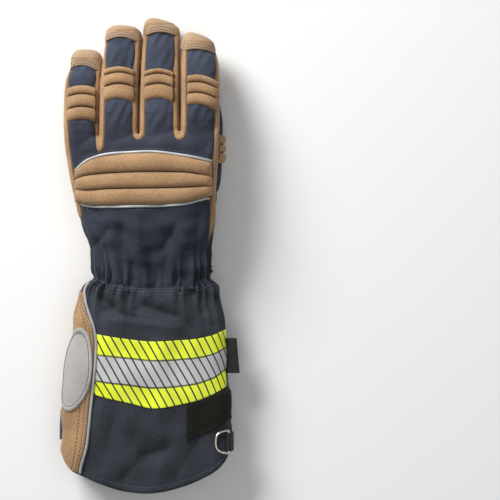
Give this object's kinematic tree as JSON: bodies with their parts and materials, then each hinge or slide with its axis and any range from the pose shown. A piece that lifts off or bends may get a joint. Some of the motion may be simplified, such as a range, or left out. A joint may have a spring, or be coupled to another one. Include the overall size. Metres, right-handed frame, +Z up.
{
  "type": "firefighter glove",
  "caption": "Left-hand gauntlet glove lying palm down: padded leather palm and knuckles, woven back, long cuff with reflective band, D-ring and strap.",
  "frame": {"origin": "middle of the glove's box, on the surface it lies on", "axes": "+Z up from the surface, back of the hand up, fingertips towards +Y, thumb towards +X"},
  "size_m": [0.1537, 0.4018, 0.0582],
  "materials": {
    "tan_leather": "grained, matt",
    "navy_shell": "woven, matt",
    "black_webbing": "woven",
    "silver_piping": "reflective",
    "pale_piping": "smooth",
    "grey_badge": "woven, bare",
    "yellow_tape": "fluorescent",
    "silver_tape": "retroreflective",
    "loop_fabric": "loop pile",
    "nickel_steel": "nickel plated",
    "grey_rubber": "moulded, matt"
  },
  "bodies": {
    "glove": {"palm_shell": "tan_leather", "hand_back_panel": "navy_shell", "knuckle_back_panel": "navy_shell", "little_front": "tan_leather", "ring_front": "tan_leather", "middle_front": "tan_leather", "index_front": "tan_leather", "little_back": "navy_shell", "ring_back": "navy_shell", "middle_back": "navy_shell", "index_back": "navy_shell", "little_cap": "tan_leather", "ring_cap": "tan_leather", "middle_cap": "tan_leather", "index_cap": "tan_leather", "thumb_shell": "tan_leather", "thumb_back_panel": "navy_shell", "thumb_base_panel": "navy_shell", "knuckle_pad": "tan_leather", "little_pad": "tan_leather", "ring_pad": "tan_leather", "middle_pad": "tan_leather", "index_pad": "tan_leather", "thumb_pad": "tan_leather", "upper_piping": "silver_piping", "lower_piping": "silver_piping", "thumb_binding": "black_webbing", "cuff": "navy_shell", "side_shield": "tan_leather", "shield_piping": "pale_piping", "badge": "grey_badge", "tape_upper": "yellow_tape", "tape_middle": "silver_tape", "tape_lower": "yellow_tape", "loop_patch": "loop_fabric", "side_tag": "black_webbing", "d_ring_loop": "black_webbing", "strap_ring": "nickel_steel", "ring_holder": "navy_shell", "strap": "navy_shell", "pull_tab": "grey_rubber"},
    "d_ring": {"d_ring": "nickel_steel"}
  },
  "joints": [
    {"name": "d_ring_swing", "type": "hinge", "parent": "glove", "child": "d_ring", "pos_m": [0.06733, -0.1578, 0.03405], "axis": [0, 1, 0], "range_deg": [0, 180]}
  ]
}
